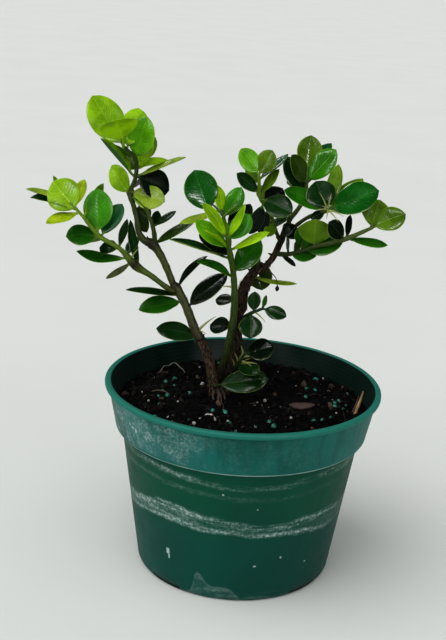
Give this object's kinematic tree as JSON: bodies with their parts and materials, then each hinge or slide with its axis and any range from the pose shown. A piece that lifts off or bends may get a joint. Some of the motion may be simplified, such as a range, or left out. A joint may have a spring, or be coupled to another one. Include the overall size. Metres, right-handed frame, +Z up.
{
  "type": "potted natal plum",
  "caption": "Young dwarf natal plum with thick glossy oval leaves and small thorns, growing in dark potting mix in a round green moulded nursery pot with a stepped rim collar.",
  "frame": {"origin": "centre of the pot's flat base, on the surface that it stands on", "axes": "+Z up along the pot's axis, -Y towards the front of the plant, +X to its right"},
  "size_m": [0.2145, 0.165, 0.2782],
  "materials": {
    "pot": "dark green moulded plastic, satin, with chalky mineral marks",
    "soil": "damp crumbly potting mix of peat and bark with green and white granules",
    "bark": "rough grey-brown bark",
    "leaf": "thick glossy dark green leaf",
    "young_leaf": "thick glossy lime green young leaf",
    "bark_chip": "flat red-brown bark flake, matt",
    "stick": "dry split wood, matt"
  },
  "bodies": {
    "root": {"pot": "pot", "soil": "soil", "woody_trunk": "bark", "trunk_shoot": "leaf", "tall_shoot": "young_leaf", "left_shoot": "young_leaf", "centre_shoot": "young_leaf", "back_twig": "leaf", "low_sprig": "leaf", "base_sprig": "leaf", "foot_leaf": "leaf", "inner_shoot": "young_leaf", "top_shoot": "leaf", "outer_shoot": "leaf", "lower_branch": "leaf", "spur_twig": "leaf", "bark_chip": "bark_chip", "stick": "stick"}
  },
  "joints": []
}
